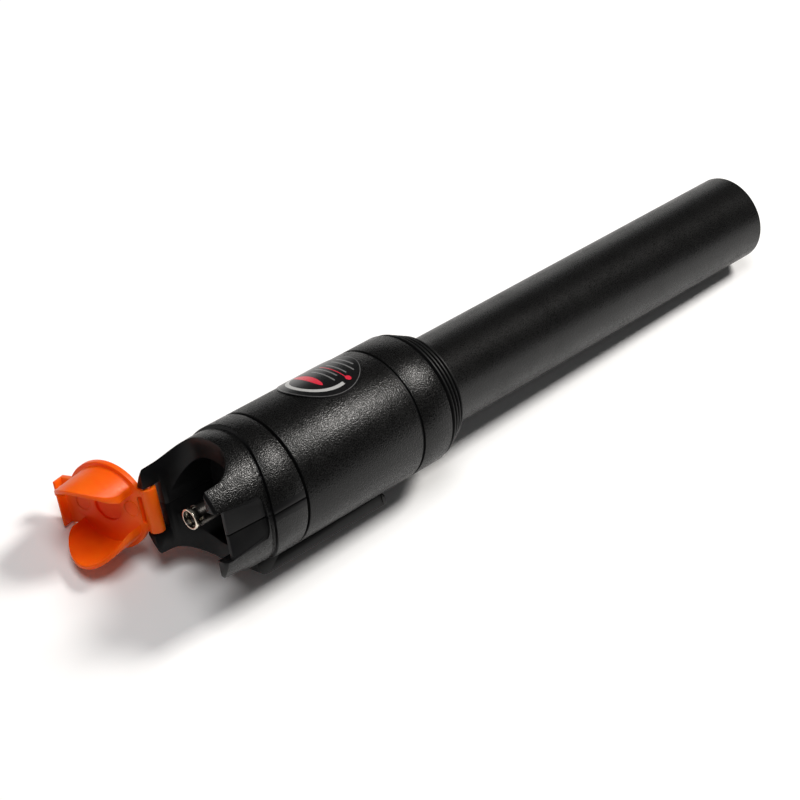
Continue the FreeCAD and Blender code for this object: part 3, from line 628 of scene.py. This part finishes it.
def is_head_skin(centre, normal):
    """Outer skin of the head and jaws, apart from the flats."""
    radial = Vector((0, centre.y, centre.z))
    if radial.length < HEAD_SKIN_R:
        return False
    outwards = normal.dot(radial.normalized())
    return outwards > HEAD_SKIN_FACING and abs(normal.y) < FLAT_FACING


def is_flat(centre, normal):
    return abs(normal.y) > FLAT_FACING and abs(centre.y) > FLAT_Y and centre.x > FLAT_BACK_X


def head_piece(node, name):
    piece = copy_of(node, name)
    give_material(piece, GLOSS_BLACK, COAT, SATIN_BLACK)
    paint_faces(piece, 1, is_head_skin)
    paint_faces(piece, 2, is_flat)
    bevel_edges(piece, HEAD_EDGE)
    smooth(piece)
    finish_piece(piece, "root", "head_coat", node)


# ------------------------------------------------------------------ lid, barrel, seal and clip
LID_EDGE = 0.14
BARREL_EDGE = 0.15
BARREL_SKIN_R = 12.5
SEAL_EDGE = 0.15
SEAL_SMOOTH_ANGLE = 60
CLIP_EDGE = 0.18
BLADE_LOW = (-24.0, -3.0, -15.9)
BLADE_HIGH = (1.2, 3.0, -13.5)


def lid_piece():
    """The lid with the soft edges of a moulding."""
    piece = copy_of("lid", "dust_lid")
    give_material(piece, LID_ORANGE)
    bevel_edges(piece, LID_EDGE, segments=3)
    smooth(piece)
    finish_piece(piece, "lid", "lid_plastic", "lid")


def barrel_piece():
    piece = copy_of("barrel", "body_barrel")
    give_material(piece, SATIN_BLACK, COAT)
    paint_faces(piece, 1, lambda centre, normal: from_axis(centre) > BARREL_SKIN_R)
    bevel_edges(piece, BARREL_EDGE, segments=3)
    smooth(piece)
    finish_piece(piece, "root", "body_coat", "barrel")


def seal_piece():
    """The washer between barrel and tube, with a round edge that catches the light."""
    piece = copy_of("seal_washer", "seal_ring")
    give_material(piece, SATIN_BLACK)
    bevel_edges(piece, SEAL_EDGE, segments=3)
    smooth(piece, SEAL_SMOOTH_ANGLE)
    finish_piece(piece, "seal", "seal_rubber", "seal_washer")


def clip_piece():
    """The clip with its spring blade at full thickness and its edges broken."""
    piece = copy_of("pocket_clip", "belt_clip")
    combine(piece, block("blade", BLADE_LOW, BLADE_HIGH), "UNION")
    give_material(piece, CLIP_BLACK)
    bevel_edges(piece, CLIP_EDGE)
    smooth(piece)
    finish_piece(piece, "root", "clip_plastic", "pocket_clip")


# ------------------------------------------------------------------ battery tube
BODY_R = 13.0
TUBE_R = 9.0
TUBE_BORE_R = 7.6
TUBE_EDGE = 0.09
TUBE_SKIN = 0.9              # the fine coat covers what lies this near the tube's radius
TAIL_X = -134.0
TAIL_FLOOR_T = 2.0
TAIL_ROUND = 0.7
COLLAR_BACK_X = COLLAR_FRONT_X - 7.0
SPIGOT_FRONT_X = -22.9
SPIGOT_R = 10.92
THREAD_TURNS = 5
THREAD_DEPTH = 0.3
THREAD_START = 0.2           # in pitches
THREAD_FORM = ((0, THREAD_DEPTH), (0.4, 0), (0.5, 0), (0.9, THREAD_DEPTH))  # pitches on, depth
RIB_COUNT = 4
RIB_PITCH = 1.22
RIB_CREST = 0.36
RIB_RISE = 0.2
RIB_DEPTH = 0.62
RIB_LEAN = 0.02
RIB_FIRST_R = 12.75
RIB_LAST_R = 11.0
RIBS_BACK_X = COLLAR_BACK_X - RIB_COUNT * RIB_PITCH


def thread_outline():
    """The thread on the spigot, front to back."""
    pitch = (SPIGOT_FRONT_X - COLLAR_FRONT_X) / (THREAD_TURNS + 0.5)
    points = []
    for turn in range(THREAD_TURNS):
        start_x = SPIGOT_FRONT_X - (turn + THREAD_START) * pitch
        points += [(start_x - on * pitch, SPIGOT_R - depth) for on, depth in THREAD_FORM]
    return points


def rib_outline():
    """The stepped ribs between collar and tube, front to back."""
    points = []
    for rib in range(RIB_COUNT):
        crest_r = RIB_FIRST_R + (RIB_LAST_R - RIB_FIRST_R) * rib / (RIB_COUNT - 1)
        front_x = COLLAR_BACK_X - rib * RIB_PITCH
        foot_x = front_x - (RIB_PITCH - RIB_CREST - RIB_RISE)
        points += [(front_x - RIB_LEAN, crest_r - RIB_DEPTH), (foot_x, crest_r - RIB_DEPTH),
                   (foot_x - RIB_RISE, crest_r), (foot_x - RIB_RISE - RIB_CREST, crest_r)]
    return points


def tube_outline():
    """Half section of the battery tube, from the mouth of the spigot round to its bore."""
    thread_root_r = SPIGOT_R - THREAD_DEPTH
    floor_x = TAIL_X + TAIL_FLOOR_T
    return [(SPIGOT_FRONT_X, TUBE_BORE_R), (SPIGOT_FRONT_X, thread_root_r),
            *thread_outline(),
            (COLLAR_FRONT_X, thread_root_r), (COLLAR_FRONT_X, BODY_R), (COLLAR_BACK_X, BODY_R),
            *rib_outline(),
            (RIBS_BACK_X, TUBE_R), (TAIL_X + TAIL_ROUND, TUBE_R), (TAIL_X, TUBE_R - TAIL_ROUND),
            (TAIL_X, 0), (floor_x, 0), (floor_x, TUBE_BORE_R), (SPIGOT_FRONT_X, TUBE_BORE_R)]


def is_collar_skin(centre, normal):
    return COLLAR_BACK_X < centre.x < COLLAR_FRONT_X and abs(normal.x) < SIDEWAYS


def is_tube_skin(centre, normal):
    return centre.x < RIBS_BACK_X and from_axis(centre) > TUBE_R - TUBE_SKIN


def tube_piece():
    piece = turned("battery_tube_turned", tube_outline())
    give_material(piece, SATIN_BLACK, COAT, TUBE_COAT)
    paint_faces(piece, 1, is_collar_skin)
    paint_faces(piece, 2, is_tube_skin)
    bevel_edges(piece, TUBE_EDGE)
    smooth(piece)
    finish_piece(piece, "tube", "body_coat", "battery_tube")


head_piece("head_upper_shell", "head_upper")
head_piece("head_lower_shell", "head_lower")
port_piece()
ceramic_piece()
seal_piece()
lid_piece()
barrel_piece()
tube_piece()
clip_piece()


# ------------------------------------------------------------------ floor and world
FLOOR_SIZE = 60.0            # metres
FLOOR_GREY = 0.80            # lights the object
FLOOR_SEEN = 1.02            # as the camera, metal and glass see it
WHITE_NEAR = 0.16            # metres from the object's middle
WHITE_FAR = 0.45
WORLD_LEVEL = 0.09


def floor_white():
    material = bpy.data.materials.new("floor_white")
    material.use_nodes = True
    nodes, links = material.node_tree.nodes, material.node_tree.links
    nodes.remove(nodes["Principled BSDF"])
    diffuse = nodes.new("ShaderNodeBsdfDiffuse")
    path = nodes.new("ShaderNodeLightPath").outputs
    seen = math_node(nodes, links, "MAXIMUM", path["Is Camera Ray"], path["Is Glossy Ray"])
    seen = math_node(nodes, links, "MAXIMUM", seen, path["Is Transmission Ray"])
    shade = ramp(nodes, links, seen, (0.0, (FLOOR_GREY,) * 3), (1.0, (FLOOR_SEEN,) * 3))
    links.new(shade, diffuse.inputs["Color"])
    # Away from the object and its shadow, the floor that these rays see is plain white.
    place = nodes.new("ShaderNodeTexCoord")
    distance = nodes.new("ShaderNodeVectorMath")
    distance.operation = "LENGTH"
    links.new(place.outputs["Object"], distance.inputs[0])
    far = span(nodes, links, distance.outputs["Value"], 0.0, 1.0, WHITE_NEAR, WHITE_FAR)
    white = nodes.new("ShaderNodeEmission")
    mix = nodes.new("ShaderNodeMixShader")
    factor, near_shader, far_shader = mix.inputs
    links.new(math_node(nodes, links, "MULTIPLY", seen, far), factor)
    links.new(diffuse.outputs["BSDF"], near_shader)
    links.new(white.outputs["Emission"], far_shader)
    links.new(mix.outputs["Shader"], nodes["Material Output"].inputs["Surface"])
    return material


def floor():
    deselect()
    bpy.ops.mesh.primitive_plane_add(size=FLOOR_SIZE, location=(0, 0, 0))
    ground = bpy.context.active_object
    ground.name = "floor"
    give_material(ground, floor_white())


def world():
    sky = bpy.data.worlds.new("studio")
    bpy.context.scene.world = sky
    sky.use_nodes = True
    background = sky.node_tree.nodes["Background"]
    background.inputs["Color"].default_value = (1, 1, 1, 1)
    background.inputs["Strength"].default_value = WORLD_LEVEL


# ------------------------------------------------------------------ camera and lamps
CAMERA_PLACE = vec(199.7, 283.18, 164.55)
CAMERA_FORWARD = Vector((-0.58291, -0.70283, -0.40772))
CAMERA_UP = Vector((-0.39753, -0.19095, 0.8975))
CAMERA_LENS = 97.18
CAMERA_SENSOR = 36.0
CAMERA_CLIP = (0.01, FLOOR_SIZE)

KEY_PLACE = (-450, 410, 540)
KEY_AIM = (-10, 0, 0)
KEY_SIZE = (0.24, 0.17)      # metres
KEY_POWER = 4.8              # watts
KEY_COLOUR = (1.0, 0.97, 0.93)
TOP_PLACE = (200, 470, 780)
TOP_AIM = (20, 0, 0)
TOP_SIZE = (0.45, 0.4)
TOP_POWER = 4.2
TOP_COLOUR = (1.0, 1.0, 1.0)


def camera():
    deselect()
    bpy.ops.object.camera_add(location=(0, 0, 0))
    eye = bpy.context.active_object
    right = CAMERA_FORWARD.cross(CAMERA_UP).normalized()
    up = right.cross(CAMERA_FORWARD).normalized()
    turn = Matrix((right, up, -CAMERA_FORWARD.normalized())).transposed().to_4x4()
    eye.matrix_world = PEN @ Matrix.Translation(CAMERA_PLACE) @ turn
    eye.data.lens = CAMERA_LENS
    eye.data.sensor_width = CAMERA_SENSOR
    eye.data.clip_start, eye.data.clip_end = CAMERA_CLIP
    bpy.context.scene.camera = eye


def area_light(name, place, aim, size, power, colour):
    """A soft box at a place in the pen's own frame, its long side along the pen."""
    deselect()
    bpy.ops.object.light_add(type="AREA", location=(0, 0, 0))
    lamp = bpy.context.active_object
    lamp.name = name
    back = (vec(*place) - vec(*aim)).normalized()
    side = Vector((1, 0, 0)) - back * back.x
    side.normalize()
    turn = Matrix((side, back.cross(side), back)).transposed().to_4x4()
    lamp.matrix_world = PEN @ Matrix.Translation(vec(*place)) @ turn
    lamp.data.shape = "RECTANGLE"
    lamp.data.size, lamp.data.size_y = size
    lamp.data.energy = power
    lamp.data.color = colour


def studio():
    bpy.context.scene.view_settings.view_transform = "Standard"
    floor()
    world()
    camera()
    area_light("key", KEY_PLACE, KEY_AIM, KEY_SIZE, KEY_POWER, KEY_COLOUR)
    area_light("top", TOP_PLACE, TOP_AIM, TOP_SIZE, TOP_POWER, TOP_COLOUR)


studio()
